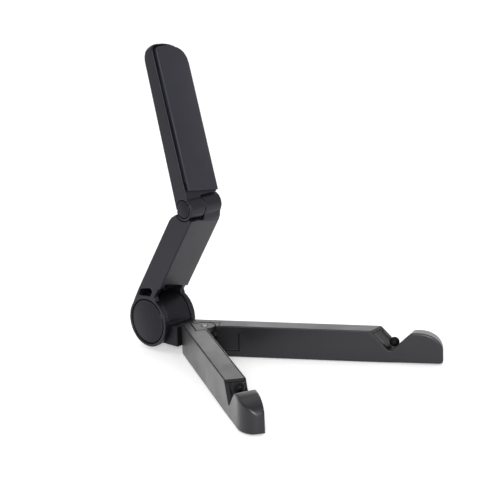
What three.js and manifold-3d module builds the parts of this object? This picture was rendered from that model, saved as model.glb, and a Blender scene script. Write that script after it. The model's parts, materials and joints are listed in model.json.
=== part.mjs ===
// Folding tripod stand for a tablet or a phone, in moulded plastic.
// Two legs with hooked ends swing on one upright pin in front of a hub. A lower arm tilts on the
// hub's cross bolt, and an upper arm with a soft pad tilts on a second bolt at the lower arm's end.
// Millimetres, +Z up, the front (where the device stands) is -Y, the width is along X.
// The origin is on the floor, in the middle of the footprint.
import * as THREE from 'three';
import { mergeVertices } from 'three/addons/utils/BufferGeometryUtils.js';
import Module from 'manifold-3d';

const wasm = await Module();
wasm.setup();

// ---- Driving dimensions -------------------------------------------------------------------
const HALF_WIDTH = 11.2;           // half the width of both arms and of the folded legs
const GAP = 0.3;                   // free space between neighbouring pieces
const PIVOT_HEIGHT = 15.7;         // main cross bolt above the floor
const HUB_RADIUS = 14;             // round ears of the lower arm on the cross bolt
const LEG_HEIGHT = 16.9;
const LEG_WIDTH = 10.9;
const LEG_REACH = 126.3;           // leg pin to leg tip
const LEG_PIN_FORWARD = 32.3;      // cross bolt to leg pin
const LEG_SPREAD = THREE.MathUtils.degToRad(31.7);
const LOWER_TILT = THREE.MathUtils.degToRad(32.56);   // forward from upright
const UPPER_TILT = THREE.MathUtils.degToRad(-15.74);  // backward from upright
const HINGE_UP = 72.7;             // middle hinge along the lower arm
const HINGE_FORWARD = -9.3;        // middle hinge across the lower arm
const ARM_BACK = -14.5;            // lower arm's back face from the cross bolt
const ARM_FRONT = -1.4;            // lower arm's front face from the cross bolt
const BARREL_RADIUS = 6.3;         // middle hinge barrel
const UPPER_LENGTH = 86;           // middle hinge to the top
const UPPER_FRONT = 4.4;           // upper arm's front rim from the hinge axis
const UPPER_BACK = -5.2;           // upper arm's back at the hinge
const UPPER_TAPER = 0.0272;        // how fast the back comes forward
const TOP_CORNER = 3;              // top left corner, seen from the front
const TOP_SWEEP = [18.2, 13.5];    // the broad round top right corner: across and down
const PAD_FRONT = 6.2;             // soft pad's face from the hinge axis
const PAD_HALF = 9.6;
const PAD_LAP = 10.9;              // the pad's face laps over the right rim to here
const PAD_START = 12.8;            // lower end of the pad's seat above the hinge
const PAD_LOWER = [8.7, 5.8];      // lower edge of the pad's face at its left and at its right end

const FOOT_REACH = LEG_PIN_FORWARD + LEG_REACH * Math.cos(LEG_SPREAD);
const PIVOT_Y = (FOOT_REACH - HUB_RADIUS) / 2;

// ---- Hub and cross bolt --------------------------------------------------------------------
const EAR_INNER = 8.3;             // inner face of the lower arm's ears
const EAR_WEB = 9.8;               // bottom of the cap recess in each ear
const HUB_HALF = 7.9;
const HUB_BARREL_RADIUS = 13.6;
const BLOCK_FRONT = 19.3;
const BLOCK_BOTTOM = 4.3;
const BOLT_BORE = 3.3;
const BOLT_HEAD = 5;               // radius of the countersunk heads
const WASHER_POCKET = 6.7;         // floor of the left washer pocket, from the middle
const SPRING_POCKET = 5.4;         // floor of the deeper right pocket
const WASHER_RECESS = 9.3;         // radius of both pockets
const BEYOND = 20;                 // cutters reach past every face
const CAP_RADIUS = 11.9;
const CAP_RECESS = 12.5;
const CAP_APEX = 11.9;

// ---- Leg pivot stack, heights above the floor ------------------------------------------------
const LOBE_RADIUS = 5.6;
const LOBE_CLEARANCE = 6;
const STACK = {
  leftLow: [0.3, 3.0],
  rightLow: [3.3, 6.0],
  tongue: [6.3, 10.6],
  rightHigh: [10.9, 13.6],
  leftHigh: [13.9, LEG_HEIGHT],
};
const PIN_RADIUS = 1.25;
const PIN_BORE = 1.6;
const PIN_HEAD = 1.65;
const TONGUE_HALF = 3;

// ---- Legs: s is the distance from the pin along the leg, w from its inner side --------------
const LEG_REAR = -7.8;
const UNDERSIDE = 0.1;             // shell's underside, the rubber feet reach the floor
const LEG_MIDDLE = LEG_WIDTH / 2;
const NOTCH = { bottom: [97.8, 99.3], depth: 6.7, front: 108.6, shoulder: 15.4, frontSkew: 0.18 };
const HUMP = { peak: 113.5, drop: 1.2, fall: 9 };   // drop: how much lower the outer side is
const LEFT = {
  side: -1,
  name: 'left',
  notchRear: 90.4,                 // notch's rear wall meets the leg's top here on the inner side
  notchSkew: 0,                    // and runs this much forward for each mm outwards
  frontShift: -1.9,                // notch's front wall, on the inner side
  humpTop: 17.7,
  stud: { s: 94.8, w: 4.1, z: 14.0, wall: 'rear' },
  pocket: [0.9, 8.5],
};
const RIGHT = {
  side: 1,
  name: 'right',
  notchRear: 88.4,
  notchSkew: 0.42,
  frontShift: 0,
  humpTop: 16.7,
  stud: { s: 100.6, w: 4.5, z: 10.4, wall: 'front' },
  pocket: [2.4, 10],
};
const POCKET = { top: 15, bottom: 8.4, depth: 1.3 };
const STUD_RADIUS = 2.7;
const STEM = { radius: 1.1, length: 6.5 };
const LEG_SCREWS = [24, 74];
const COVER = { from: 14, to: 84, inner: 1.7, outer: 9.2, bottom: 0.6, top: 2.6 };
const STRIP = { rear: -6.9, from: 7.6, to: 95, inner: 0.9, beside: 6.5, outer: 10.3, thick: 1.2 };
const FOOT = { length: 12, half: 2.6, rear: 36, tip: 93, thick: 1.4 };
const BOSS_RADIUS = 2.6;           // bosses that the cover screws bite into
const LEG_CAVITY = { inner: 2.2, outer: 8.7, from: 16, to: 82, top: 14.2 };

const FINE = 40;
const MEDIUM = 24;
const SMALL = 14;

// ---- Materials ---------------------------------------------------------------------------
const plastic = new THREE.MeshStandardMaterial({ color: 0x2c2c31, roughness: 0.42, metalness: 0 });
const capPlastic = new THREE.MeshStandardMaterial({ color: 0x2f2f35, roughness: 0.3, metalness: 0 });
const padRubber = new THREE.MeshStandardMaterial({ color: 0x26262b, roughness: 0.6, metalness: 0 });
const blackRubber = new THREE.MeshStandardMaterial({ color: 0x060607, roughness: 0.75, metalness: 0 });
const steel = new THREE.MeshStandardMaterial({ color: 0x8c8f94, roughness: 0.3, metalness: 1 });
const nylon = new THREE.MeshStandardMaterial({ color: 0xb9b7ae, roughness: 0.5, metalness: 0 });

// ---- Solid helpers -------------------------------------------------------------------------
function signedVolume(position, index) {
  const a = new THREE.Vector3();
  const b = new THREE.Vector3();
  const c = new THREE.Vector3();
  let volume = 0;
  for (let i = 0; i < index.count; i += 3) {
    a.fromBufferAttribute(position, index.getX(i));
    b.fromBufferAttribute(position, index.getX(i + 1));
    c.fromBufferAttribute(position, index.getX(i + 2));
    volume += a.dot(b.cross(c)) / 6;
  }
  return volume;
}

/** Closed three.js geometry as a solid, with its faces turned outwards. */
function solid(geometry) {
  const bare = geometry.clone();
  bare.deleteAttribute('normal');
  bare.deleteAttribute('uv');
  const merged = mergeVertices(bare, 1e-4);
  const triangles = Uint32Array.from(merged.index.array);
  if (signedVolume(merged.attributes.position, merged.index) < 0) {
    for (let i = 0; i < triangles.length; i += 3) {
      [triangles[i + 1], triangles[i + 2]] = [triangles[i + 2], triangles[i + 1]];
    }
  }
  const vertProperties = Float32Array.from(merged.attributes.position.array);
  return new wasm.Manifold(new wasm.Mesh({ numProp: 3, vertProperties, triVerts: triangles }));
}

function geometryOf(manifold) {
  const mesh = manifold.getMesh();
  const geometry = new THREE.BufferGeometry();
  geometry.setAttribute('position', new THREE.BufferAttribute(Float32Array.from(mesh.vertProperties), 3));
  geometry.setIndex(new THREE.BufferAttribute(Uint32Array.from(mesh.triVerts), 1));
  geometry.computeVertexNormals();
  return geometry;
}

const joined = (first, ...rest) => rest.reduce((whole, piece) => whole.add(piece), first);
const cut = (first, ...rest) => rest.reduce((whole, tool) => whole.subtract(tool), first);

function box(x0, x1, y0, y1, z0, z1) {
  const geometry = new THREE.BoxGeometry(x1 - x0, y1 - y0, z1 - z0);
  return solid(geometry.translate((x0 + x1) / 2, (y0 + y1) / 2, (z0 + z1) / 2));
}

/** Round bar along X. */
function axle(radius, x0, x1, y = 0, z = 0, sides = MEDIUM) {
  const geometry = new THREE.CylinderGeometry(radius, radius, x1 - x0, sides);
  return solid(geometry.rotateZ(Math.PI / 2).translate((x0 + x1) / 2, y, z));
}

/** Round bar along Z. */
function post(radius, z0, z1, x = 0, y = 0, sides = MEDIUM) {
  const geometry = new THREE.CylinderGeometry(radius, radius, z1 - z0, sides);
  return solid(geometry.rotateX(Math.PI / 2).translate(x, y, (z0 + z1) / 2));
}

const vectors = (points) => points.map(([across, up]) => new THREE.Vector2(across, up));
const shapeOf = (outline) => (
  outline instanceof THREE.Shape ? outline : new THREE.Shape(vectors(outline)));

const extruded = (outline, depth, steps) => new THREE.ExtrudeGeometry(shapeOf(outline),
  { depth, bevelEnabled: false, curveSegments: steps });

/** Side-view outline, (forward, up) points, swept across the width from x0 to x1. */
function slab(outline, x0, x1, steps = 8) {
  const geometry = extruded(outline, x1 - x0, steps);
  const turn = new THREE.Matrix4().set(0, 0, -1, x1, -1, 0, 0, 0, 0, 1, 0, 0, 0, 0, 0, 1);
  return solid(geometry.applyMatrix4(turn));
}

/** Front-view outline, (x, up) points, swept from forward f0 to forward f1. */
function plate(outline, f0, f1, steps = 8) {
  return solid(extruded(outline, f1 - f0, steps).rotateX(Math.PI / 2).translate(0, -f0, 0));
}

/** Plan outline, (x, forward) points, swept from z0 to z1. */
function floorPlan(outline, z0, z1) {
  return solid(extruded(outline.map(([x, f]) => [x, -f]), z1 - z0, 1).translate(0, 0, z0));
}

/** Turned piece about X: profile points are (radius, x), from axis to axis. */
function turnedX(profile, sides = MEDIUM) {
  const points = profile.map(([radius, x]) => new THREE.Vector2(radius, x));
  return solid(new THREE.LatheGeometry(points, sides).rotateZ(-Math.PI / 2));
}

/** Turned piece about Z: profile points are (radius, z). */
function turnedZ(profile, sides = MEDIUM) {
  const points = profile.map(([radius, z]) => new THREE.Vector2(radius, z));
  return solid(new THREE.LatheGeometry(points, sides).rotateX(Math.PI / 2));
}

/** Flat ring about X. */
function washer(inner, outer, x0, x1, sides = MEDIUM) {
  return turnedX([[inner, x0], [outer, x0], [outer, x1], [inner, x1], [inner, x0]], sides);
}

/** Slides a solid's layers: forward and up grow by the given shares of x. */
function sheared(manifold, forward, up) {
  const shear = new THREE.Matrix4().set(1, 0, 0, 0, -forward, 1, 0, 0, up, 0, 1, 0, 0, 0, 0, 1);
  return solid(geometryOf(manifold).applyMatrix4(shear));
}

/** Distance from a leg's inner side, or from the middle, as an x span on the given side. */
const span = (side, near, far) => (side < 0 ? [-far, -near] : [near, far]);

function piece(name, manifold, material) {
  const mesh = new THREE.Mesh(geometryOf(manifold), material);
  mesh.name = name;
  return mesh;
}

// ---- Screws --------------------------------------------------------------------------------
const SCREW = { head: 1.9, headHeight: 0.9, shaft: 0.9 };
const SCREW_HEAD_HOLE = SCREW.head + GAP;
const SCREW_SHAFT_HOLE = SCREW.shaft + GAP;

/** Pan-head screw: head top at z = 0, shaft going down. */
function screw(length) {
  return turnedZ([[0, -length], [SCREW.shaft, -length + 0.7], [SCREW.shaft, -SCREW.headHeight],
    [SCREW.head, -SCREW.headHeight], [SCREW.head, 0], [0, 0]], 12);
}

// ---- Hub -----------------------------------------------------------------------------------
/** Barrel between the ears, the block in front of it and the tongue that carries the leg pin. */
function hub() {
  const blockOutline = [[0, BLOCK_BOTTOM], [BLOCK_FRONT, BLOCK_BOTTOM],
    [BLOCK_FRONT, PIVOT_HEIGHT - 0.6], [BLOCK_FRONT - 0.6, PIVOT_HEIGHT], [0, PIVOT_HEIGHT]];
  const [low, high] = STACK.tongue;
  const body = joined(
    axle(HUB_BARREL_RADIUS, -HUB_HALF, HUB_HALF, 0, PIVOT_HEIGHT, FINE),
    slab(blockOutline, -HUB_HALF, HUB_HALF),
    box(-TONGUE_HALF, TONGUE_HALF, -LEG_PIN_FORWARD, -BLOCK_FRONT + 2, low, high),
    post(TONGUE_HALF, low, high, 0, -LEG_PIN_FORWARD, SMALL),
  );
  return cut(body,
    axle(BOLT_BORE, -BEYOND, BEYOND, 0, PIVOT_HEIGHT, SMALL),
    axle(WASHER_RECESS, -BEYOND, -WASHER_POCKET, 0, PIVOT_HEIGHT, MEDIUM),
    axle(WASHER_RECESS, SPRING_POCKET, BEYOND, 0, PIVOT_HEIGHT, MEDIUM),
    post(PIN_BORE, 0, BEYOND, 0, -LEG_PIN_FORWARD, SMALL),
  );
}

/** Upright pin that the legs swing on, with a low domed head on top and a riveted foot below. */
function legPin() {
  const top = LEG_HEIGHT + 0.1;
  const footTop = STACK.leftLow[0] + 0.7;
  const headBase = top - 0.5;
  return turnedZ([[0, 0.4], [2.4, 0.4], [2.4, footTop], [PIN_RADIUS, footTop], [PIN_RADIUS, headBase],
    [PIN_HEAD, headBase], [PIN_HEAD - 0.1, top], [0.9, top + 0.15], [0, top + 0.2]], SMALL);
}

function pivotBolt() {
  const face = -EAR_WEB + 0.1;
  const neck = -EAR_INNER - 0.1;
  return turnedX([[0, face], [BOLT_HEAD, face], [BOLT_HEAD, face + 0.3], [3, neck],
    [1.7, neck], [1.7, 4], [0, 4]], SMALL);
}

/** Sleeve nut: a countersunk head on the right and a sleeve over the bolt. */
function sleeveNut() {
  const face = EAR_WEB - 0.1;
  return turnedX([[2.0, -8.0], [3.0, -8.0], [3.0, EAR_INNER + 0.1], [BOLT_HEAD, face - 0.3],
    [BOLT_HEAD, face], [0, face], [0, 6], [2.0, 6], [2.0, -8.0]], SMALL);
}

function springWasher() {
  return turnedX([[4.2, SPRING_POCKET + 0.2], [8.6, SPRING_POCKET + 0.7], [8.6, SPRING_POCKET + 1.3],
    [4.2, SPRING_POCKET + 0.8], [4.2, SPRING_POCKET + 0.2]], SMALL);
}

/** Low-domed round cap that snaps into an ear: side is -1 on the left and 1 on the right. */
function pivotCap(side) {
  const inside = EAR_WEB + GAP;
  const rim = HALF_WIDTH - 0.3;
  const profile = [[0, inside], [CAP_RADIUS, inside], [CAP_RADIUS, rim - 0.2], [CAP_RADIUS - 0.3, rim]];
  for (const radius of [8, 4]) {
    profile.push([radius, rim + (CAP_APEX - rim) * (1 - (radius / CAP_RADIUS) ** 2)]);
  }
  profile.push([0, CAP_APEX]);
  return turnedX(profile.map(([radius, x]) => [radius, side * x]), FINE);
}

// ---- Lower arm, modelled upright about the cross bolt ---------------------------------------
const CUT_BACK = [ARM_BACK, 11.8];   // lower end of the arm's body at its back
const CUT_FRONT = [ARM_FRONT, 22.6]; // and at its front
const CRADLE_RADIUS = BARREL_RADIUS + GAP;
const LOWER_SLANT = -0.33;           // the body's lower end drops towards the right
const EAR_SIDE = -0.6;               // inner face of the single ear at the middle hinge
const EAR_GAP = 0.4;
const LOWER_SCREWS = [30, 54];
const APRON = { back: -14.4, front: -13.3, bottom: 4.2, top: 26 };   // wall between the ears
const BACK_RECESS = { half: 8.9, depth: 2.3, from: 27, to: 60 };      // seat of the back cover
const ARM_CAVITY = { half: 7.4, wall: 2.2, from: 29, to: 58 };
const WINDOW = [[-13.0, 12.6], [-12.9, 8.6], [-10.6, 9.9], [-7.2, 12.6], [-5.2, 13.9],
  [-5.4, 17.1], [-7.3, 18]];         // opening in the left ear between the disc and the body
const HINGE_BORE = 2.05;
const HINGE_HEAD_POCKET = 3.7;       // round on the bolt's side, six-sided on the nut's
const HINGE_CAP_RECESS = 4.9;
const NUT_FLOOR = 7.2;
const RIGHT_CAP_FLOOR = 9.9;

/** Outline of the arm from below its lower end to the cradle under the middle hinge. */
const LOWER_BODY = [[ARM_BACK, 2], [ARM_FRONT, 2], [ARM_FRONT, 73], [ARM_BACK + 4.5, 73],
  [ARM_BACK + 2.3, 66.5], [ARM_BACK + 0.6, 63.4], [ARM_BACK, 60.6]];

/** What lies under the body's slanting lower end. */
function belowBody() {
  const rise = (CUT_FRONT[1] - CUT_BACK[1]) / (CUT_FRONT[0] - CUT_BACK[0]);
  const edge = (f) => [f, CUT_BACK[1] + (f - ARM_BACK) * rise];
  return sheared(slab([edge(-30), [-30, -30], [30, -30], edge(30)], -20, 20), 0, LOWER_SLANT);
}

/** Side view of an ear and its necks: the left one has a window between the disc and the body. */
function earOutline(side) {
  const shape = new THREE.Shape();
  shape.moveTo(ARM_BACK, 24);
  shape.lineTo(...CUT_BACK);
  shape.lineTo(ARM_BACK + 0.2, 6);
  shape.absarc(0, 0, HUB_RADIUS, Math.PI - 0.1, 2 * Math.PI + Math.acos(-2.2 / HUB_RADIUS) - 0.1, false);
  shape.lineTo(-2.7, 15.5);
  shape.lineTo(-2.5, 21.4);
  shape.lineTo(...CUT_FRONT);
  shape.lineTo(ARM_FRONT, 27);
  shape.lineTo(ARM_BACK, 27);
  if (side < 0) shape.holes.push(new THREE.Path(vectors(WINDOW)));
  return shape;
}

/** The ear that holds the middle hinge's bolt: its front runs on from the arm's own front. */
function hingeEar() {
  const front = HINGE_FORWARD + BARREL_RADIUS - 0.1;
  const outline = [[ARM_FRONT, 58], [ARM_FRONT, 67], [ARM_FRONT - 0.4, 69.6], [front - 0.2, HINGE_UP],
    [HINGE_FORWARD, HINGE_UP], [HINGE_FORWARD, 69], [ARM_BACK, 66], [ARM_BACK, 58]];
  return joined(
    axle(BARREL_RADIUS - 0.1, EAR_SIDE, HALF_WIDTH, -HINGE_FORWARD, HINGE_UP, FINE),
    slab(outline, EAR_SIDE, HALF_WIDTH),
  );
}

/** Recess for the round cap in an ear, and the countersunk hole for the bolt under it. */
function earHoles(side) {
  return joined(
    axle(CAP_RECESS, ...span(side, EAR_WEB, BEYOND), 0, 0, FINE),
    turnedX([[0, side * 8], [BOLT_BORE, side * 8], [BOLT_BORE, side * EAR_INNER], [5.4, side * 9.4],
      [5.4, side * 12], [0, side * 12]], SMALL),
  );
}

function lowerArm() {
  const aboveLip = plate([[-BEYOND, 74.3], [BEYOND, 63.9], [BEYOND, 90], [-BEYOND, 90]],
    ARM_FRONT - 9, ARM_FRONT + 5);
  const body = cut(slab(LOWER_BODY, -HALF_WIDTH, HALF_WIDTH),
    belowBody(),
    axle(CRADLE_RADIUS, -BEYOND, EAR_SIDE, -HINGE_FORWARD, HINGE_UP, MEDIUM),
    box(-BEYOND, BEYOND, 0, 40, HINGE_UP - 2, 100),
    aboveLip,
  );
  const ears = [-1, 1].map((side) => slab(earOutline(side), ...span(side, EAR_INNER, HALF_WIDTH), 24));
  const apron = box(-EAR_INNER - 1, EAR_INNER + 1, -APRON.front, -APRON.back, APRON.bottom, APRON.top);
  const bosses = LOWER_SCREWS.map((u) => alongForward(BOSS_RADIUS, -30, 30, u));
  const { half, depth, from, to } = BACK_RECESS;
  const cavity = box(-ARM_CAVITY.half, ARM_CAVITY.half, -ARM_FRONT + ARM_CAVITY.wall, BEYOND,
    ARM_CAVITY.from, ARM_CAVITY.to);
  return cut(joined(body, hingeEar(), apron, ...ears),
    box(-half, half, -ARM_BACK - depth, 30, from, to),
    cut(cavity, ...bosses),
    ...LOWER_SCREWS.map((u) => alongForward(SCREW_SHAFT_HOLE, -BEYOND, -6, u)),
    earHoles(-1),
    earHoles(1),
    axle(HINGE_BORE, EAR_SIDE - 1, BEYOND, -HINGE_FORWARD, HINGE_UP, SMALL),
    axle(HINGE_HEAD_POCKET, NUT_FLOOR, BEYOND, -HINGE_FORWARD, HINGE_UP, 6),
    axle(HINGE_CAP_RECESS, RIGHT_CAP_FLOOR, BEYOND, -HINGE_FORWARD, HINGE_UP, MEDIUM),
  );
}

/** Round bar along the forward direction at height u. */
function alongForward(radius, f0, f1, u, x = 0, sides = SMALL) {
  const geometry = new THREE.CylinderGeometry(radius, radius, f1 - f0, sides);
  return solid(geometry.translate(x, -(f0 + f1) / 2, u));
}

function lowerBackCover() {
  const half = BACK_RECESS.half - GAP;
  const cover = box(-half, half, -ARM_BACK - BACK_RECESS.depth + GAP, -ARM_BACK,
    BACK_RECESS.from + GAP, BACK_RECESS.to - GAP);
  const holes = LOWER_SCREWS.flatMap((u) => [
    alongForward(SCREW_HEAD_HOLE, ARM_BACK - 1, ARM_BACK + 1.3, u),
    alongForward(SCREW_SHAFT_HOLE, ARM_BACK - 1, ARM_BACK + 4, u)]);
  return cut(cover, ...holes);
}

// ---- Middle hinge hardware, about its own axis -------------------------------------------------
const HINGE_POCKET = -7.2;           // floor of the left counterbore in the barrel
const LEFT_CAP_FLOOR = -9.3;

function hingeBolt() {
  return turnedX([[0, LEFT_CAP_FLOOR], [3.2, LEFT_CAP_FLOOR], [3.4, -9.1], [3.4, -8.3],
    [1.75, -8.3], [1.75, 9.6], [0, 9.6]], SMALL);
}

function hingeSpring() {
  return washer(2.1, 3.3, -8.0, HINGE_POCKET - 0.2, SMALL);
}

function hingeNut() {
  return cut(axle(3.35, NUT_FLOOR + 0.2, 9.5, 0, 0, 6), axle(HINGE_BORE, 0, BEYOND, 0, 0, SMALL));
}

function hingeWasher() {
  return washer(2.1, 4.4, EAR_SIDE - 0.9, EAR_SIDE - 0.3, SMALL);
}

function hingeCap(side) {
  const inside = GAP + (side < 0 ? -LEFT_CAP_FLOOR : RIGHT_CAP_FLOOR);
  const radius = HINGE_CAP_RECESS - GAP;
  const profile = [[0, inside], [radius, inside], [radius, HALF_WIDTH - 0.3], [radius - 0.3, HALF_WIDTH],
    [2.2, HALF_WIDTH + 0.2], [0, HALF_WIDTH + 0.25]];
  return turnedX(profile.map(([across, x]) => [across, side * x]), MEDIUM);
}

// ---- Upper arm, modelled upright about the middle hinge -----------------------------------------
/** Front view of the upper arm or of what lies inside its rim, drawn in by inset from its edge. */
function armFace([lowLeft, lowRight], inset, left = HALF_WIDTH - inset, right = HALF_WIDTH - inset) {
  const top = UPPER_LENGTH - inset;
  const corner = TOP_CORNER - inset * 0.6;
  const [across, down] = TOP_SWEEP.map((reach) => reach - inset * 1.3);
  const shape = new THREE.Shape();
  shape.moveTo(-left, lowLeft);
  shape.lineTo(right, lowRight);
  shape.lineTo(right, top - down);
  shape.bezierCurveTo(right, top - down * 0.3, right - across * 0.42, top, right - across, top);
  shape.lineTo(corner - left, top);
  shape.absarc(corner - left, top - corner, corner, Math.PI / 2, Math.PI, false);
  return shape;
}

const backAt = (u) => UPPER_BACK + UPPER_TAPER * u;
const level = (u) => [u, u];
const CARRIER_SCREWS = [24, 66];
const UPPER_CAVITY = { half: 8, from: 17, to: 74, front: 1 };

/** Side view of the upper arm: a round barrel below, a flat front and a back that curls over the top. */
function upperSide() {
  const shape = new THREE.Shape();
  shape.moveTo(UPPER_BACK, -3.5);
  const rim = Math.acos(UPPER_FRONT / BARREL_RADIUS);
  shape.absarc(0, 0, BARREL_RADIUS, Math.PI + 0.6, 2 * Math.PI + rim, false);
  shape.lineTo(UPPER_FRONT, UPPER_LENGTH);
  shape.bezierCurveTo(0.6, UPPER_LENGTH, backAt(82) - 0.2, UPPER_LENGTH - 3.8, backAt(77.5), 77.5);
  return shape;
}

/** Side view of what lies inside the shell's curled top, this far in from its back and top. */
function underCurl(wall) {
  const top = UPPER_LENGTH - wall;
  const shape = new THREE.Shape();
  shape.moveTo(backAt(77.5) + wall, -BEYOND);
  shape.lineTo(BEYOND, -BEYOND);
  shape.lineTo(BEYOND, top);
  shape.lineTo(UPPER_FRONT + wall, top);
  shape.bezierCurveTo(0.6 + wall, top, backAt(82) - 0.2 + wall, top - 3.8, backAt(77.5) + wall, 77.5 - wall);
  return slab(shape, -BEYOND, BEYOND, FINE / 2);
}

const CURL_WALL = 0.9;
const underShell = (manifold) => manifold.intersect(underCurl(CURL_WALL + GAP + 0.1));

function upperShell() {
  const blank = slab(upperSide(), -HALF_WIDTH, HALF_WIDTH, FINE / 2)
    .intersect(plate(armFace(level(-20), 0), -30, 30, 12));
  const bosses = CARRIER_SCREWS.map((u) => alongForward(BOSS_RADIUS, -30, 30, u));
  const { half, from, to, front } = UPPER_CAVITY;
  const cavity = slab([[backAt(from) + 1.7, from], [front, from], [front, to], [backAt(to) + 1.5, to]],
    -half, half);
  const barrelEnd = EAR_SIDE - EAR_GAP;
  return cut(blank,
    plate(armFace(level(PAD_START - 0.5), 1.1), -0.4, 20, 10).intersect(underCurl(CURL_WALL)),
    cut(cavity, ...bosses),
    ...CARRIER_SCREWS.map((u) => alongForward(SCREW_SHAFT_HOLE, -2.5, 5, u)),
    axle(BARREL_RADIUS + 0.5, barrelEnd, BEYOND, 0, 0, MEDIUM),
    box(barrelEnd, BEYOND, -BEYOND, BEYOND, -BEYOND, 1),
    axle(HINGE_BORE, -BEYOND, BEYOND, 0, 0, SMALL),
    axle(HINGE_HEAD_POCKET, -BEYOND, HINGE_POCKET, 0, 0, SMALL),
    axle(HINGE_CAP_RECESS, -BEYOND, LEFT_CAP_FLOOR, 0, 0, MEDIUM),
    axle(4.7, barrelEnd - 0.8, BEYOND, 0, 0, SMALL),
  );
}

function padCarrier() {
  const base = underShell(plate(armFace(level(PAD_START), 1.6), -0.1, 1.7, 6));
  const holes = CARRIER_SCREWS.flatMap((u) => [
    alongForward(SCREW_HEAD_HOLE, 0.5, 5, u),
    alongForward(SCREW_SHAFT_HOLE, -2, 5, u)]);
  return cut(base, ...holes);
}

/** Soft pad: a base that sits in the rim and a proud face that laps over the rim and down to the hinge. */
function pad() {
  const base = underShell(plate(armFace(level(PAD_START), 1.6), 2.0, UPPER_FRONT + GAP + 0.2, 8));
  const face = plate(armFace(PAD_LOWER, 1.6, PAD_HALF, PAD_LAP), UPPER_FRONT + GAP, PAD_FRONT, 12);
  return joined(base, face);
}

// ---- Legs, modelled straight ahead of the pin ---------------------------------------------------
/** Side view of the leg as high as its hook could reach. */
function legProfile() {
  const shape = new THREE.Shape();
  shape.moveTo(LEG_REAR, UNDERSIDE);
  shape.lineTo(84, UNDERSIDE);
  shape.lineTo(LEG_REACH - 1.2, 0.6);
  shape.quadraticCurveTo(LEG_REACH, 0.7, LEG_REACH, 2);
  shape.lineTo(LEG_REACH, 30);
  shape.lineTo(104, 30);
  shape.lineTo(104, LEG_HEIGHT);
  shape.lineTo(LEG_REAR, LEG_HEIGHT);
  return shape;
}

/** s of the notch's rear wall at height z, on the leg's inner side. */
function rearWall(leg, z) {
  const slope = (NOTCH.bottom[0] - leg.notchRear) / (LEG_HEIGHT - NOTCH.depth);
  return leg.notchRear + (LEG_HEIGHT - z) * slope;
}

/** The notch that the device's edge stands in: what lies above both of its walls. */
function notch(leg) {
  const [, bottom] = NOTCH.bottom;
  const rise = (NOTCH.shoulder - NOTCH.depth) / (NOTCH.front - bottom);
  const top = leg.humpTop;
  const frontOutline = [[60, NOTCH.depth], [bottom, NOTCH.depth], [NOTCH.front, NOTCH.shoulder],
    [NOTCH.front + 1.8, NOTCH.shoulder + 1.4 * rise], [HUMP.peak - 1.2, top - 0.1], [HUMP.peak, top + 0.2],
    [HUMP.peak, 40], [60, 40]].map(([s, z]) => [s + leg.frontShift, z]);
  const overFront = sheared(slab(frontOutline, -20, 20), leg.side * NOTCH.frontSkew, 0);
  const overRear = slab([[rearWall(leg, 40), 40], [rearWall(leg, -20), -20], [150, -20], [150, 40]], -20, 20);
  return overFront.intersect(sheared(overRear, leg.side * leg.notchSkew, 0));
}

/** Shallow pocket sunk into the notch's rear wall between its thin side rims. */
function wallPocket(leg) {
  const back = (z) => [rearWall(leg, z) - POCKET.depth, z];
  const front = (z) => [rearWall(leg, z) + 3, z];
  const outline = [back(POCKET.top), back(POCKET.bottom), front(POCKET.bottom), front(POCKET.top)];
  return sheared(slab(outline, ...span(leg.side, ...leg.pocket)), leg.side * leg.notchSkew, 0);
}

/** Everything above the hook: a quarter of an ellipse that also slopes down towards the outer side. */
function aboveHook(leg) {
  const low = leg.humpTop - HUMP.fall;
  const reach = LEG_REACH + 0.1 - HUMP.peak;
  const outline = [[103, 60], [103, leg.humpTop]];
  for (let i = 0; i <= 10; i += 1) {
    const angle = (Math.PI / 2) * (1 - i / 10);
    outline.push([HUMP.peak + reach * Math.cos(angle), low + HUMP.fall * Math.sin(angle)]);
  }
  outline.push([140, low], [140, 60]);
  return sheared(slab(outline, -20, 20), 0, -leg.side * (HUMP.drop / LEG_WIDTH));
}

/** Leg seen from above, with a broad round outer corner at the tip. */
function legPlan(side) {
  const [across, along] = [8.5, 11];
  const points = [[0, LEG_REAR - 1], [LEG_WIDTH, LEG_REAR - 1]];
  for (let i = 0; i <= 10; i += 1) {
    const angle = (i / 10) * (Math.PI / 2);
    points.push([LEG_WIDTH - across * (1 - Math.cos(angle)), LEG_REACH - along * (1 - Math.sin(angle))]);
  }
  points.push([0.6, LEG_REACH], [0, LEG_REACH - 0.6]);
  return points.map(([w, s]) => [side * w, s]);
}

/** Space round the pin that the other leg's lobes and the hub's tongue swing in. */
function legClearances(side) {
  const free = side < 0
    ? [[STACK.leftLow[1], STACK.leftHigh[0]]]
    : [[-1, STACK.rightLow[0]], [STACK.rightLow[1], STACK.rightHigh[0]], [STACK.rightHigh[1], 30]];
  const lean = Math.tan(LEG_SPREAD);
  const far = LEG_REAR - 2;
  const mirrored = (points) => points.map(([w, s]) => [side * w, s]);
  const wall = 3.9;                // the middle lobes' slot ends at this distance from the inner side
  const swing = mirrored([[0, 6], [wall, 6], [wall, 0], [wall - lean * LEG_REAR, LEG_REAR],
    [wall - lean * LEG_REAR, far], [0, far]]);
  const meeting = mirrored([[-9, 0], [0.2, 0], [0.2 - lean * far, far], [-9, far]]);
  const tongueSide = [[LOBE_CLEARANCE - 1, 3.4], [18.4, 3.4], [18.4, 13.5], [LOBE_CLEARANCE - 1, 13.5]];
  return joined(
    ...free.map(([low, high]) => post(LOBE_CLEARANCE, low + 0.15, high - 0.15, 0, 0, MEDIUM)),
    floorPlan(meeting, -1, 30),
    floorPlan(swing, STACK.rightLow[1] + 0.05, STACK.rightHigh[0] - 0.05),
    slab(tongueSide, ...span(side, -1, 1.3)),
  );
}

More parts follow.
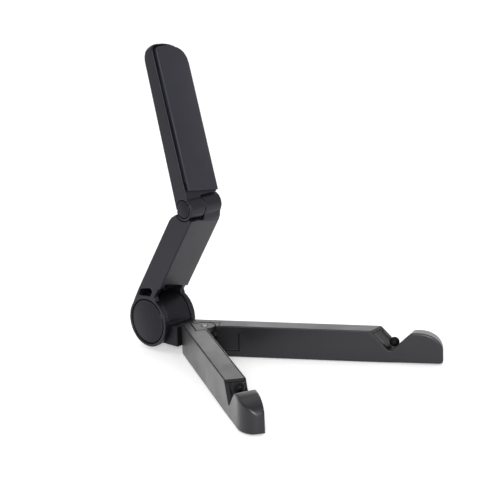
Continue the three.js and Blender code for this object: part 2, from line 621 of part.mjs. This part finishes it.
/** The leg's top plate seen from above: it ends at the notch, and passes the pin's lobe at the rear. */
function stripPlan(side, grow = 0) {
  const { rear, from, to, inner, beside, outer } = STRIP;
  return [[outer + grow, rear - grow], [outer + grow, to], [inner - grow, to], [inner - grow, from - grow],
    [beside - grow, from - grow], [beside - grow, rear - grow]].map(([w, s]) => [side * w, s]);
}

function legShell(leg) {
  const { side } = leg;
  const own = side < 0 ? [STACK.leftLow, STACK.leftHigh] : [STACK.rightLow, STACK.rightHigh];
  const blank = slab(legProfile(), ...span(side, 0, LEG_WIDTH), 5)
    .intersect(floorPlan(legPlan(side), -1, 30))
    .subtract(notch(leg)).subtract(aboveHook(leg)).subtract(wallPocket(leg));
  const lobes = own.map(([low, high]) => post(LOBE_RADIUS, low, high, 0, 0, FINE));
  const bosses = LEG_SCREWS.map((s) => post(BOSS_RADIUS, -5, 20, side * LEG_MIDDLE, -s, SMALL));
  const hollow = LEG_CAVITY;
  const cavity = box(...span(side, hollow.inner, hollow.outer), -hollow.to, -hollow.from, -1, hollow.top);
  const coverSeat = box(...span(side, COVER.inner - GAP, COVER.outer + GAP),
    -COVER.to - GAP, -COVER.from + GAP, -1, COVER.top + GAP);
  const stripSeat = floorPlan(stripPlan(side, GAP), LEG_HEIGHT - STRIP.thick - GAP, 30)
    .intersect(box(-BEYOND, BEYOND, -100, BEYOND, 0, 40));
  const pinEnds = side < 0
    ? [post(2.7, -1, STACK.leftLow[0] + 1, 0, 0, SMALL), post(PIN_HEAD + GAP, 16.2, 30, 0, 0, SMALL)]
    : [];
  return cut(joined(cut(blank, legClearances(side)), ...lobes),
    post(PIN_BORE, -5, 30, 0, 0, SMALL),
    ...pinEnds,
    coverSeat,
    cut(cavity, ...bosses),
    ...LEG_SCREWS.map((s) => post(SCREW_SHAFT_HOLE, -1, 8, side * LEG_MIDDLE, -s, SMALL)),
    stripSeat,
    footRecess(side, FOOT.tip),
    gripStud(leg, GAP),
  );
}

function legStrip(leg) {
  const blank = floorPlan(stripPlan(leg.side), LEG_HEIGHT - STRIP.thick, LEG_HEIGHT);
  return cut(blank, notch(leg), gripStud(leg, GAP));
}

function footSolid(side, s, z0, z1, grow = 0) {
  const shape = new THREE.Shape();
  const half = FOOT.half + grow;
  const reach = FOOT.length / 2 - FOOT.half;
  shape.absarc(side * LEG_MIDDLE, -(s - reach), half, 0, Math.PI, false);
  shape.absarc(side * LEG_MIDDLE, -(s + reach), half, Math.PI, 2 * Math.PI, false);
  return solid(extruded(shape, z1 - z0, 8).translate(0, 0, z0));
}

const footRecess = (side, s) => footSolid(side, s, -1, FOOT.thick + GAP, GAP);
const foot = (side, s) => footSolid(side, s, 0, FOOT.thick);

function legCover(side) {
  const body = box(...span(side, COVER.inner, COVER.outer), -COVER.to, -COVER.from, COVER.bottom, COVER.top);
  const holes = LEG_SCREWS.flatMap((s) => [
    post(SCREW_HEAD_HOLE, -1, COVER.bottom + 1.3, side * LEG_MIDDLE, -s, SMALL),
    post(SCREW_SHAFT_HOLE, -1, 5, side * LEG_MIDDLE, -s, SMALL)]);
  return cut(body, ...holes, footRecess(side, FOOT.rear));
}

/** Round rubber stud with a stem that goes square into the notch wall it stands on. */
function gripStud(leg, grow = 0) {
  const { s, w, z, wall } = leg.stud;
  const rise = Math.atan2(NOTCH.shoulder - NOTCH.depth, NOTCH.front - NOTCH.bottom[1]);
  const fall = Math.atan2(LEG_HEIGHT - NOTCH.depth, NOTCH.bottom[0] - leg.notchRear);
  const inward = wall === 'front'
    ? new THREE.Vector3(0, -Math.sin(rise), -Math.cos(rise))
    : new THREE.Vector3(0, Math.sin(fall), -Math.cos(fall));
  const turn = new THREE.Quaternion().setFromUnitVectors(new THREE.Vector3(0, 1, 0), inward);
  const length = STEM.length + grow;
  const stem = new THREE.CylinderGeometry(STEM.radius + grow, STEM.radius + grow, length, SMALL)
    .translate(0, length / 2, 0)
    .applyQuaternion(turn);
  const ball = new THREE.SphereGeometry(STUD_RADIUS + grow, 12, 8);
  const move = [leg.side * w, -s, z];
  return joined(solid(stem.translate(...move)), solid(ball.translate(...move)));
}

// ---- Assembly ------------------------------------------------------------------------------
const stand = new THREE.Group();
stand.position.set(0, PIVOT_Y, 0);

const crossBolt = new THREE.Group();
crossBolt.position.set(0, 0, PIVOT_HEIGHT);
crossBolt.rotation.x = LOWER_TILT;
stand.add(crossBolt);

const middleHinge = new THREE.Group();
middleHinge.position.set(0, -HINGE_FORWARD, HINGE_UP);
middleHinge.rotation.x = UPPER_TILT - LOWER_TILT;
crossBolt.add(middleHinge);

stand.add(piece('hub_block', hub(), plastic));
const pin = piece('leg_pivot_pin', legPin(), steel);
pin.position.set(0, -LEG_PIN_FORWARD, 0);
stand.add(pin);
const hubWashers = [
  piece('left_friction_washer', washer(3.9, 8.9, -8.1, -7.0, SMALL), nylon),
  piece('right_friction_washer', washer(3.9, 8.9, 7.0, 8.1, SMALL), nylon),
  piece('pivot_spring_washer', springWasher(), steel),
];
for (const ring of hubWashers) {
  ring.position.set(0, 0, PIVOT_HEIGHT);
  stand.add(ring);
}

crossBolt.add(
  piece('lower_arm_shell', lowerArm(), plastic),
  piece('lower_arm_back_cover', lowerBackCover(), plastic),
  piece('pivot_bolt', pivotBolt(), steel),
  piece('pivot_sleeve_nut', sleeveNut(), steel),
  piece('left_pivot_cap', pivotCap(-1), capPlastic),
  piece('right_pivot_cap', pivotCap(1), capPlastic),
);
LOWER_SCREWS.forEach((u, i) => {
  const mesh = piece(`lower_arm_screw_${i + 1}`, screw(8), steel);
  mesh.position.set(0, -ARM_BACK - 0.1, u);
  mesh.rotation.x = -Math.PI / 2;
  crossBolt.add(mesh);
});

middleHinge.add(
  piece('upper_arm_shell', upperShell(), plastic),
  piece('pad_carrier', padCarrier(), plastic),
  piece('backrest_pad', pad(), padRubber),
  piece('hinge_left_cap', hingeCap(-1), capPlastic),
  piece('hinge_bolt', hingeBolt(), steel),
  piece('hinge_spring_washer', hingeSpring(), steel),
  piece('hinge_friction_washer', hingeWasher(), nylon),
  piece('hinge_nut', hingeNut(), steel),
  piece('hinge_right_cap', hingeCap(1), capPlastic),
);
CARRIER_SCREWS.forEach((u, i) => {
  const mesh = piece(`pad_carrier_screw_${i + 1}`, screw(3.6), steel);
  mesh.position.set(0, -1.6, u);
  mesh.rotation.x = Math.PI / 2;
  middleHinge.add(mesh);
});

for (const leg of [LEFT, RIGHT]) {
  const { side, name } = leg;
  const group = new THREE.Group();
  group.position.set(0, -LEG_PIN_FORWARD, 0);
  group.rotation.z = side * LEG_SPREAD;
  group.add(
    piece(`${name}_leg_shell`, legShell(leg), plastic),
    piece(`${name}_leg_top_strip`, legStrip(leg), plastic),
    piece(`${name}_leg_base_cover`, legCover(side), plastic),
    piece(`${name}_grip_stud`, gripStud(leg), blackRubber),
    piece(`${name}_rear_foot`, foot(side, FOOT.rear), blackRubber),
    piece(`${name}_front_foot`, foot(side, FOOT.tip), blackRubber),
  );
  LEG_SCREWS.forEach((s, i) => {
    const mesh = piece(`${name}_leg_screw_${i + 1}`, screw(6.5), steel);
    mesh.position.set(side * LEG_MIDDLE, -s, COVER.bottom + 0.1);
    mesh.rotation.x = Math.PI;
    group.add(mesh);
  });
  stand.add(group);
}

const object = new THREE.Group();
object.add(stand);
export default object;
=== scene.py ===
"""Folding tablet stand in black moulded plastic, on a white studio floor."""

import json
import math

import bmesh
import bpy
from mathutils import Matrix, Vector

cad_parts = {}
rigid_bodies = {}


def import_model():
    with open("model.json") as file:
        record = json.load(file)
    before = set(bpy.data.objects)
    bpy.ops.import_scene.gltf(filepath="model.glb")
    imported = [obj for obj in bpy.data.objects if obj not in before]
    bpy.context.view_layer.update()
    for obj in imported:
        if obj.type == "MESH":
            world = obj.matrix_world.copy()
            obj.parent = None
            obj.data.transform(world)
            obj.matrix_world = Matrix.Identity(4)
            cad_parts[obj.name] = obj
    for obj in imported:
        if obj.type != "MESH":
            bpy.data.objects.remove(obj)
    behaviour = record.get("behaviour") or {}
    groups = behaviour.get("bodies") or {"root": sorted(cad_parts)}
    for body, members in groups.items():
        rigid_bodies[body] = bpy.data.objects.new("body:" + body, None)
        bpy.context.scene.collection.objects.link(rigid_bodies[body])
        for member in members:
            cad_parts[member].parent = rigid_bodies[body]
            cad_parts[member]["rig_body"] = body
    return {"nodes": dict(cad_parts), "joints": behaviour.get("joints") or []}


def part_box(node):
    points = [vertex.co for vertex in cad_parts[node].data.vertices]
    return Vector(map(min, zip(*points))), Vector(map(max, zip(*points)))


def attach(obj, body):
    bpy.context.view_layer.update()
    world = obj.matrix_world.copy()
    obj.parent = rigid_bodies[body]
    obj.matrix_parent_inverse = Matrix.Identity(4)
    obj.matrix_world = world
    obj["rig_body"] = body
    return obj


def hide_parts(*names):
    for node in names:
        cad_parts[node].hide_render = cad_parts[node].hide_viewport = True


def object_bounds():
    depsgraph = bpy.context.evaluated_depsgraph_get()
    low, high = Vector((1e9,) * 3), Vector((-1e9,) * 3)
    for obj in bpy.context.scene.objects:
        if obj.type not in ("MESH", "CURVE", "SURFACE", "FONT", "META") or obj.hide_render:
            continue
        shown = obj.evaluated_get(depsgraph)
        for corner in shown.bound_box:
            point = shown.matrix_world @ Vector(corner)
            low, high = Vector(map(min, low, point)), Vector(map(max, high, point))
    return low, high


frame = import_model()
cad_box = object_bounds()
MM = 0.001

# Skins: the spacing of their points, the smoothing passes that wear their edges round, and the
# share of their faces that is kept.
SKIN = 0.3 * MM
PAD_SKIN = 0.4 * MM
SHELL_ROUNDS = 5
UPPER_ARM_ROUNDS = 14
PAD_ROUNDS = 7
LEG_ROUNDS = 4
HOOK_ROUNDS = 40
SHELL_KEEP = 0.22
UPPER_ARM_KEEP = 0.35
WELD_DISTANCE = 1e-6

# Shapes.
HOOK_FROM = 106 * MM                 # from the leg's pin to where its hook begins
HOOK_FADE = 6 * MM
HOOK_LOW = 4 * MM                    # the hook's foot stays crisp below this
HOOK_HIGH = 9 * MM
PAD_CROWN = 0.5 * MM
PAD_FACE_DEPTH = 0.8 * MM            # how far below its face the pad still swells
PIVOT_CAP = (0.85 * MM, 0.5 * MM)    # dome height and edge radius
HINGE_CAP = (0.3 * MM, 0.3 * MM)
DOME_INSET = 1.6                     # in edge radii, from a cap's outside to its dome
SMALL_EDGE = 0.15 * MM

# Studio light: the room is dim overhead and in front, and bright low down behind the stand.
ROOM_DIM = 0.6
ROOM_BRIGHT = 1.6
FLOOR_GLOW = 0.3
AWAY_FROM_VIEWER = (0.71, 0.70, 0.0)
OVERHEAD_PLACE = (0.2, 0.3, 1.4)
OVERHEAD_AIM = (0, 0, 0)
OVERHEAD_SIZE = (1.2, 1.2)
OVERHEAD_WATTS = 3
FRONT_PLACE = (-0.72, -0.66, 0.36)
FRONT_AIM = (0, 0, 0.06)
FRONT_SIZE = (0.34, 0.34)
FRONT_WATTS = 9
FLOOR_REACH = 6.0
FLOOR_GAP = 0.0003                   # keeps the floor from sharing a plane with the feet

# The view: the camera's place in metres, its turn in degrees and its lens in millimetres.
CAMERA_PLACE = (-0.63406, -0.62900, 0.29645)
CAMERA_AZIMUTH = -45.462
CAMERA_ELEVATION = 14.648
CAMERA_ROLL = 1.82
CAMERA_LENS = 130.0


# ---- Node trees ---------------------------------------------------------------------------------
class Tree:
    """A material with its Principled shader, and short calls that add nodes to it."""

    def __init__(self, name):
        self.material = bpy.data.materials.new(name)
        self.material.use_nodes = True
        self.nodes = self.material.node_tree.nodes
        self.links = self.material.node_tree.links
        self.shader = self.nodes["Principled BSDF"]
        self.place = self.nodes.new("ShaderNodeTexCoord").outputs["Object"]

    def add(self, kind, settings=None, **inputs):
        node = self.nodes.new(kind)
        for key, value in (settings or {}).items():
            setattr(node, key, value)
        for key, value in inputs.items():
            self.feed(node.inputs[key.replace("_", " ")], value)
        return node

    def feed(self, socket, value):
        if isinstance(value, bpy.types.NodeSocket):
            self.links.new(value, socket)
        else:
            socket.default_value = value

    def noise(self, scale, detail=3.0, roughness=0.5, stretch=(1, 1, 1)):
        mapped = self.add("ShaderNodeMapping", Vector=self.place, Scale=stretch)
        return self.add("ShaderNodeTexNoise", Vector=mapped.outputs["Vector"], Scale=scale,
                        Detail=detail, Roughness=roughness).outputs["Fac"]

    def cells(self, scale):
        return self.add("ShaderNodeTexVoronoi", Vector=self.place, Scale=scale).outputs["Distance"]

    def span(self, value, low, high, start=0.3, end=0.7):
        settings = {"interpolation_type": "SMOOTHSTEP"}
        return self.add("ShaderNodeMapRange", settings, Value=value, From_Min=start, From_Max=end,
                        To_Min=low, To_Max=high).outputs["Result"]

    def mix(self, factor, first, second):
        node = self.add("ShaderNodeMix", {"data_type": "RGBA"})
        self.feed(node.inputs["Factor"], factor)
        self.feed(node.inputs[6], first)
        self.feed(node.inputs[7], second)
        return node.outputs[2]

    def math(self, operation, first, second=0.0):
        node = self.add("ShaderNodeMath", {"operation": operation})
        self.feed(node.inputs[0], first)
        self.feed(node.inputs[1], second)
        return node.outputs[0]

    def bump(self, height, strength, distance, under=None):
        node = self.add("ShaderNodeBump", Height=height, Strength=strength, Distance=distance)
        if under is not None:
            self.feed(node.inputs["Normal"], under)
        return node.outputs["Normal"]

    def edges(self, radius):
        """1 on the flats, falling where two faces meet within the radius."""
        soft = self.add("ShaderNodeBevel", {"samples": 4}, Radius=radius).outputs["Normal"]
        hard = self.add("ShaderNodeNewGeometry").outputs["Normal"]
        node = self.add("ShaderNodeVectorMath", {"operation": "DOT_PRODUCT"})
        self.feed(node.inputs[0], soft)
        self.feed(node.inputs[1], hard)
        return node.outputs["Value"]

    def finish(self, **inputs):
        for key, value in inputs.items():
            self.feed(self.shader.inputs[key.replace("_", " ")], value)
        return self.material


def shade(level, tint=(1.0, 1.0, 1.08)):
    return (level * tint[0], level * tint[1], level * tint[2], 1.0)


# ---- Materials ----------------------------------------------------------------------------------
COOL = (0.8, 0.79, 1.0, 1.0)         # faint blue-violet cast of the black plastic's shine
NEUTRAL = (0.94, 0.93, 1.0, 1.0)     # the legs' shine has less of it
GREY = (1, 1, 1)
BLUISH = (1, 1, 1.22)


def moulded_plastic(name, level, gloss, grain, bloom, shine, cast=COOL):
    """Satin moulded plastic: spark-eroded grain, faint flow marks, smudges, painted edge highlights.
    """
    t = Tree(name)
    flow = t.span(t.noise(14, detail=4, stretch=(1, 1, 2.4)), 0.0, 1.0)
    speck = t.span(t.noise(900, detail=2), 0.0, 1.0, 0.55, 0.75)
    colour = t.mix(flow, shade(level * 0.88), shade(level * 1.12))
    colour = t.mix(t.math("MULTIPLY", speck, 0.22), colour, shade(level * 1.7))
    # Painted highlight: the edges are made paler in patches, standing in for light catching them.
    edge_highlight = t.span(t.edges(0.5 * MM), 1.0, 0.0, 0.75, 0.985)
    patchy_edge_highlight = t.math("MULTIPLY", edge_highlight, t.span(t.noise(120), 0.05, 0.5))
    colour = t.mix(patchy_edge_highlight, colour, shade(level * 2.3))
    smudge = t.span(t.noise(38, detail=5, roughness=0.62), gloss - 0.05, gloss + 0.07)
    rough = t.math("ADD", smudge, t.math("MULTIPLY", t.noise(2600, detail=1), 0.06))
    fine = t.bump(t.noise(3800, detail=2), grain, 0.05 * MM)
    normal = t.bump(t.noise(60, detail=2), 0.1, 0.25 * MM, fine)
    return t.finish(Base_Color=colour, Roughness=rough, Normal=normal, IOR=1.5,
                    Specular_IOR_Level=shine, Specular_Tint=cast, Sheen_Weight=bloom,
                    Sheen_Roughness=0.35)


def soft_rubber(name, level):
    """Soft-touch pad: fine pebble grain, a faint bloom and dust in the hollows."""
    t = Tree(name)
    pebble = t.cells(1500)
    bloom = t.span(t.noise(24, detail=5), 0.0, 1.0)
    colour = t.mix(bloom, shade(level * 0.9, BLUISH), shade(level * 1.15, BLUISH))
    dust = t.math("MULTIPLY", t.span(t.noise(700, detail=3), 0.0, 1.0, 0.62, 0.8), 0.2)
    colour = t.mix(dust, colour, shade(level * 2.6))
    rough = t.span(t.noise(50, detail=4), 0.46, 0.6)
    normal = t.bump(pebble, 0.35, 0.06 * MM, t.bump(t.noise(90), 0.12, 0.3 * MM))
    return t.finish(Base_Color=colour, Roughness=rough, Normal=normal, IOR=1.5,
                    Specular_IOR_Level=0.58, Specular_Tint=COOL)


def grip_rubber(name, level):
    """Jet-black grip rubber with a matt, faintly porous skin."""
    t = Tree(name)
    pores = t.span(t.noise(2200, detail=3), 0.0, 1.0, 0.45, 0.65)
    colour = t.mix(pores, shade(level, GREY), shade(level * 1.8, GREY))
    rough = t.span(t.noise(160, detail=3), 0.42, 0.62)
    normal = t.bump(pores, 0.3, 0.05 * MM)
    return t.finish(Base_Color=colour, Roughness=rough, Normal=normal, IOR=1.5,
                    Specular_IOR_Level=0.12)


def zinc_steel(name, level):
    """Zinc-plated steel: fine turning marks, cloudy plating."""
    t = Tree(name)
    lines = t.noise(400, detail=3, stretch=(1, 1, 9))
    cloud = t.span(t.noise(150, detail=4), 0.0, 1.0)
    colour = t.mix(cloud, shade(level * 0.85, (1, 1.01, 1.03)), shade(level * 1.1, (1.02, 1, 0.96)))
    rough = t.span(lines, 0.24, 0.42)
    normal = t.bump(lines, 0.15, 0.03 * MM)
    return t.finish(Base_Color=colour, Roughness=rough, Metallic=1.0, Normal=normal)


def washer_nylon(name):
    """Natural nylon: milky, slightly waxy."""
    t = Tree(name)
    cloud = t.span(t.noise(90, detail=4), 0.0, 1.0)
    colour = t.mix(cloud, (0.56, 0.54, 0.47, 1), (0.66, 0.64, 0.57, 1))
    rough = t.span(t.noise(500), 0.38, 0.52)
    normal = t.bump(t.noise(1800), 0.15, 0.04 * MM)
    return t.finish(Base_Color=colour, Roughness=rough, Normal=normal, IOR=1.53)


LEG_PLASTIC = moulded_plastic("leg_plastic_black", level=0.0045, gloss=0.3, grain=0.2, bloom=0.03,
                              shine=0.46, cast=NEUTRAL)
# Painted shade: the hub's plastic is a darker, less shiny copy of the shell plastic.
HUB_PLASTIC_PAINTED_SHADE = moulded_plastic("hub_plastic_black_painted_shade", level=0.0035, gloss=0.4, grain=0.25, bloom=0.0,
                              shine=0.26)
FINISHES = {
    "shell_plastic": moulded_plastic("shell_plastic_black", level=0.0045, gloss=0.3, grain=0.2,
                                     bloom=0.0, shine=0.37),
    "cap_plastic": moulded_plastic("cap_plastic_black", level=0.0035, gloss=0.2, grain=0.1,
                                   bloom=0.0, shine=0.25),
    "pad_rubber": soft_rubber("pad_rubber_black", 0.006),
    "black_rubber": grip_rubber("stud_rubber_black", 0.002),
    "steel": zinc_steel("zinc_plated_steel", 0.3),
    "washer_nylon": washer_nylon("natural_nylon"),
}


def finish_of(node):
    """The material of a node: its slot's, except on the legs and the hub."""
    if slot_of(node) != "shell_plastic":
        return FINISHES[slot_of(node)]
    # painted shade: the hub takes the darker copy of the shell plastic
    if node == "hub_block":
        return HUB_PLASTIC_PAINTED_SHADE
    return LEG_PLASTIC if "_leg_" in node else FINISHES["shell_plastic"]


# ---- Pieces -------------------------------------------------------------------------------------
def body_of(node):
    return frame["nodes"][node]["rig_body"]


def slot_of(node):
    return frame["nodes"][node].material_slots[0].material.name.split(".")[0]


def pivot_of(joint):
    return next(Vector(each["pos_m"]) for each in frame["joints"] if each["name"] == joint)


def enrol(obj, node):
    """Puts a finished piece into the scene in place of its CAD node."""
    bpy.context.scene.collection.objects.link(obj)
    obj.data.materials.clear()
    obj.data.materials.append(finish_of(node))
    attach(obj, body_of(node))
    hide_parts(node)
    return obj


def baked(obj):
    """Applies an object's modifiers and returns the object with its new mesh."""
    bpy.context.scene.collection.objects.link(obj)
    ready = obj.evaluated_get(bpy.context.evaluated_depsgraph_get())
    mesh = bpy.data.meshes.new_from_object(ready)
    bpy.context.scene.collection.objects.unlink(obj)
    obj.modifiers.clear()
    obj.data = mesh
    return obj


def smoothed(obj, rounds, group=""):
    """Wears the edges round, over the whole piece or by a vertex group's share."""
    smooth = obj.modifiers.new("edge_radius", "SMOOTH")
    smooth.factor = 0.5
    smooth.iterations = rounds
    smooth.vertex_group = group


def skin(node, voxel=SKIN, rounds=SHELL_ROUNDS, soft=None, keep=SHELL_KEEP):
    """The CAD solid under one continuous skin with its edges worn round.

    soft(point), from 0 to 1, says how far a point belongs to a rounder region, such as a hook.
    keep is the share of the skin's faces that is kept.
    """
    mesh = frame["nodes"][node].data.copy()
    work = bmesh.new()
    work.from_mesh(mesh)
    bmesh.ops.remove_doubles(work, verts=work.verts, dist=WELD_DISTANCE)
    work.to_mesh(mesh)
    work.free()
    obj = bpy.data.objects.new(node + "_finished", mesh)
    remesh = obj.modifiers.new("skin", "REMESH")
    remesh.mode = "VOXEL"
    remesh.voxel_size = voxel
    baked(obj)
    smoothed(obj, rounds)
    if soft:
        group = obj.vertex_groups.new(name="soft")
        for vertex in obj.data.vertices:
            share = soft(vertex.co)
            if share > 0.0:
                group.add([vertex.index], share, "REPLACE")
        smoothed(obj, HOOK_ROUNDS, "soft")
    fewer = obj.modifiers.new("fewer_faces", "DECIMATE")
    fewer.ratio = keep
    baked(obj)
    for polygon in obj.data.polygons:
        polygon.use_smooth = True
    normals = obj.modifiers.new("flat_faces_flat", "WEIGHTED_NORMAL")
    normals.weight = 60
    return enrol(obj, node)


def crowned(obj, rise):
    """Soft pad: its face swells a little towards the middle."""
    faces = [face for face in obj.data.polygons if face.normal.y < -0.8]
    out = sum((face.normal * face.area for face in faces), Vector()).normalized()
    area = sum(face.area for face in faces)
    middle = sum((face.center * face.area for face in faces), Vector()) / area
    up = out.cross(Vector((1, 0, 0)))
    offsets = [vertex.co - middle for vertex in obj.data.vertices]
    half_across = max(abs(offset.x) for offset in offsets)
    half_up = max(abs(offset.dot(up)) for offset in offsets)
    for vertex, offset in zip(obj.data.vertices, offsets):
        if offset.dot(out) > -PAD_FACE_DEPTH:
            share = (1 - (offset.x / half_across) ** 2) * (1 - (offset.dot(up) / half_up) ** 4)
            vertex.co += out * rise * max(share, 0.0)
    return obj


def hook_of(joint):
    """A function that says how far a point of the leg on this joint belongs to its hook."""
    pin = pivot_of(joint)

    def share(co):
        reach = math.hypot(co.x - pin.x, co.y - pin.y)
        along = min(max((reach - HOOK_FROM) / HOOK_FADE, 0.0), 1.0)
        return along * min(max((co.z - HOOK_LOW) / (HOOK_HIGH - HOOK_LOW), 0.0), 1.0)
    return share


skin("lower_arm_shell")
skin("upper_arm_shell", rounds=UPPER_ARM_ROUNDS, keep=UPPER_ARM_KEEP)
skin("hub_block")
pad = crowned(skin("backrest_pad", voxel=PAD_SKIN, rounds=PAD_ROUNDS, keep=1.0), PAD_CROWN)
for side in ("left", "right"):
    skin(side + "_leg_shell", rounds=LEG_ROUNDS, soft=hook_of(side + "_leg_swing"))


def turned(node, profile, segments=128):
    """A lathe piece about X on its CAD node's own axis: profile points are (radius, x)."""
    low, high = (Vector(corner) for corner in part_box(node))
    centre = (low + high) / 2
    work = bmesh.new()
    rings = []
    for radius, x in profile:
        if radius == 0.0:
            rings.append([work.verts.new((x, 0, 0))] * segments)
            continue
        ring = []
        for i in range(segments):
            angle = 2 * math.pi * i / segments
            ring.append(work.verts.new((x, radius * math.cos(angle), radius * math.sin(angle))))
        rings.append(ring)
    for first, second in zip(rings, rings[1:]):
        for i in range(segments):
            j = (i + 1) % segments
            corners = list(dict.fromkeys((first[i], first[j], second[j], second[i])))
            work.faces.new(corners)
    bmesh.ops.recalc_face_normals(work, faces=work.faces)
    mesh = bpy.data.meshes.new(node + "_finished")
    work.to_mesh(mesh)
    work.free()
    for polygon in mesh.polygons:
        polygon.use_smooth = True
    for vertex in mesh.vertices:
        vertex.co += Vector((0, centre.y, centre.z))
    return enrol(bpy.data.objects.new(node + "_finished", mesh), node)


def arc(centre, radius, start, end, steps=6):
    """Points of a round in a profile, with angles in degrees from the radial direction."""
    points = []
    for i in range(steps + 1):
        angle = math.radians(start + (end - start) * i / steps)
        points.append((centre[0] + radius * math.cos(angle), centre[1] + radius * math.sin(angle)))
    return points


def cap(node, crown, edge, steps=12):
    """Snap-in cap: a rolled edge of radius edge, and a low dome of height crown."""
    low, high = (Vector(corner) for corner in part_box(node))
    side = 1 if low.x + high.x > 0 else -1
    inside, outside = sorted((abs(low.x), abs(high.x)))
    radius = (high.z - low.z) / 2
    rim = outside - crown
    profile = [(0.0, inside), (radius, inside)]
    profile += arc((radius - edge, rim - edge), edge, 0, 90)
    for i in range(steps + 1):
        share = 1 - i / steps
        profile.append(((radius - DOME_INSET * edge) * share, rim + crown * (1 - share ** 2)))
    turned(node, [(r, side * x) for r, x in profile])


for side in ("left", "right"):
    cap(side + "_pivot_cap", *PIVOT_CAP)
    cap("hinge_" + side + "_cap", *HINGE_CAP)


def soften(obj, width, angle=24.0):
    """Rounds the sharp edges of a carried-over CAD piece, and smooths the rest."""
    for polygon in obj.data.polygons:
        polygon.use_smooth = True
    weld = obj.modifiers.new("whole_faces", "WELD")
    weld.merge_threshold = WELD_DISTANCE
    bevel = obj.modifiers.new("edge_radius", "BEVEL")
    bevel.width = width
    bevel.segments = 3
    bevel.limit_method = "ANGLE"
    bevel.angle_limit = math.radians(angle)
    bevel.harden_normals = True
    normals = obj.modifiers.new("flat_faces_flat", "WEIGHTED_NORMAL")
    normals.weight = 80


def grip_stud(node):
    """Round rubber stud: the CAD ball and stem under a subdivision surface."""
    mesh = frame["nodes"][node].data.copy()
    obj = bpy.data.objects.new(node + "_finished", mesh)
    for polygon in mesh.polygons:
        polygon.use_smooth = True
    weld = obj.modifiers.new("whole_faces", "WELD")
    weld.merge_threshold = WELD_DISTANCE
    surface = obj.modifiers.new("round_surface", "SUBSURF")
    surface.levels = 3
    surface.render_levels = 3
    enrol(obj, node)


grip_stud("left_grip_stud")
grip_stud("right_grip_stud")

for node_name, cad in frame["nodes"].items():
    if node_name + "_finished" not in bpy.data.objects:
        cad.material_slots[0].material = finish_of(node_name)
        soften(cad, SMALL_EDGE)


# ---- Studio -------------------------------------------------------------------------------------
def floor():
    mesh = bpy.data.meshes.new("studio_floor")
    reach = FLOOR_REACH
    corners = [(-reach, -reach, 0), (reach, -reach, 0), (reach, reach, 0), (-reach, reach, 0)]
    mesh.from_pydata(corners, [], [(0, 1, 2, 3)])
    obj = bpy.data.objects.new("studio_floor", mesh)
    obj.location.z = cad_box[0][2] - FLOOR_GAP
    bpy.context.scene.collection.objects.link(obj)
    t = Tree("studio_white")
    mottle = t.span(t.noise(3), 0.0, 1.0)
    colour = t.mix(mottle, (0.93, 0.93, 0.93, 1), (0.95, 0.95, 0.95, 1))
    mesh.materials.append(t.finish(Base_Color=colour, Roughness=0.7, Emission_Color=colour,
                                   Emission_Strength=FLOOR_GLOW))


def softbox(name, place_at, aim, size, power):
    lamp = bpy.data.lights.new(name, "AREA")
    lamp.shape = "RECTANGLE"
    lamp.size = size[0]
    lamp.size_y = size[1]
    lamp.energy = power
    obj = bpy.data.objects.new(name, lamp)
    obj.location = place_at
    obj.rotation_euler = (Vector(aim) - Vector(place_at)).to_track_quat("-Z", "Y").to_euler()
    bpy.context.scene.collection.objects.link(obj)


def white_room():
    """World light that is low and bright behind the stand and dimmer overhead and in front."""
    world = bpy.data.worlds.new("white_room")
    world.use_nodes = True
    nodes, links = world.node_tree.nodes, world.node_tree.links

    def ramp(value, start, end, low, high):
        node = nodes.new("ShaderNodeMapRange")
        node.interpolation_type = "SMOOTHSTEP"
        links.new(value, node.inputs["Value"])
        for key, number in (("From Min", start), ("From Max", end), ("To Min", low), ("To Max", high)):
            node.inputs[key].default_value = number
        return node.outputs["Result"]

    def along(direction):
        node = nodes.new("ShaderNodeVectorMath")
        node.operation = "DOT_PRODUCT"
        links.new(nodes["place"].outputs["Generated"], node.inputs[0])
        node.inputs[1].default_value = direction
        return node.outputs["Value"]

    nodes.new("ShaderNodeTexCoord").name = "place"
    behind = ramp(along(AWAY_FROM_VIEWER), -0.4, 0.9, 0.0, 1.0)
    low = ramp(along((0.0, 0.0, 1.0)), 0.25, 0.75, 1.0, 0.0)
    glow = nodes.new("ShaderNodeMath")
    glow.operation = "MULTIPLY"
    links.new(behind, glow.inputs[0])
    links.new(low, glow.inputs[1])
    background = nodes["Background"]
    background.inputs["Color"].default_value = (1, 1, 1, 1)
    links.new(ramp(glow.outputs[0], 0.0, 1.0, ROOM_DIM, ROOM_BRIGHT), background.inputs["Strength"])
    bpy.context.scene.world = world


def studio():
    white_room()
    bpy.context.scene.view_settings.view_transform = "Standard"
    floor()
    softbox("overhead_softbox", OVERHEAD_PLACE, OVERHEAD_AIM, OVERHEAD_SIZE, OVERHEAD_WATTS)
    softbox("front_softbox", FRONT_PLACE, FRONT_AIM, FRONT_SIZE, FRONT_WATTS)


def camera():
    """Front left and a little above, a long lens at 0.94 m."""
    azimuth = math.radians(CAMERA_AZIMUTH)
    elevation = math.radians(CAMERA_ELEVATION)
    roll = math.radians(CAMERA_ROLL)
    back = Vector((math.sin(azimuth) * math.cos(elevation), -math.cos(azimuth) * math.cos(elevation),
                   math.sin(elevation)))
    right = Vector((math.cos(azimuth), math.sin(azimuth), 0))
    up = back.cross(right)
    rolled_right = math.cos(roll) * right - math.sin(roll) * up
    rolled_up = math.sin(roll) * right + math.cos(roll) * up
    turn = Matrix((rolled_right, rolled_up, back)).transposed().to_4x4()
    data = bpy.data.cameras.new("view_camera")
    data.lens = CAMERA_LENS
    data.sensor_width = 36.0
    data.clip_start = 0.01
    obj = bpy.data.objects.new("view_camera", data)
    obj.matrix_world = Matrix.Translation(CAMERA_PLACE) @ turn
    bpy.context.scene.collection.objects.link(obj)
    bpy.context.scene.camera = obj


studio()
camera()
